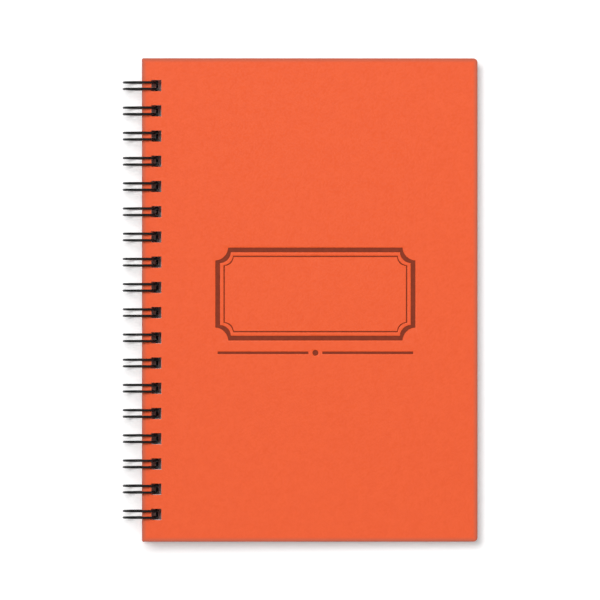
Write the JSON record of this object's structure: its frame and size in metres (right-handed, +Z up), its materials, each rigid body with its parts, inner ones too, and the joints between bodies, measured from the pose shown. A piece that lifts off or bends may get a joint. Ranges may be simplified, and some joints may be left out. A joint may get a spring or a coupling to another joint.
{
  "type": "wire-bound journal",
  "caption": "Closed hard-cover journal of ruled sheets on a black twin-loop wire; both covers turn about the wire.",
  "frame": {"origin": "on the surface that carries the book, under the middle of the box round it", "axes": "+X from the spine to the fore-edge, +Y to the head, +Z up through the front cover"},
  "size_m": [0.1788, 0.2434, 0.0183],
  "materials": {
    "cover_wrap": "matte",
    "ruled_paper": "matte",
    "coated_wire": "gloss"
  },
  "bodies": {
    "book": {"page_block": "ruled_paper", "binding_wire": "coated_wire"},
    "front": {"front_cover": "cover_wrap"},
    "rear": {"rear_cover": "cover_wrap"}
  },
  "joints": [
    {"name": "front_cover_turn", "type": "hinge", "parent": "book", "child": "front", "pos_m": [-0.08029, 0, 0.00915], "axis": [0, -1, 0], "range_deg": [0, 182.4]},
    {"name": "rear_cover_turn", "type": "hinge", "parent": "book", "child": "rear", "pos_m": [-0.08029, 0, 0.00915], "axis": [0, -1, 0], "range_deg": [-182.4, 0]}
  ]
}
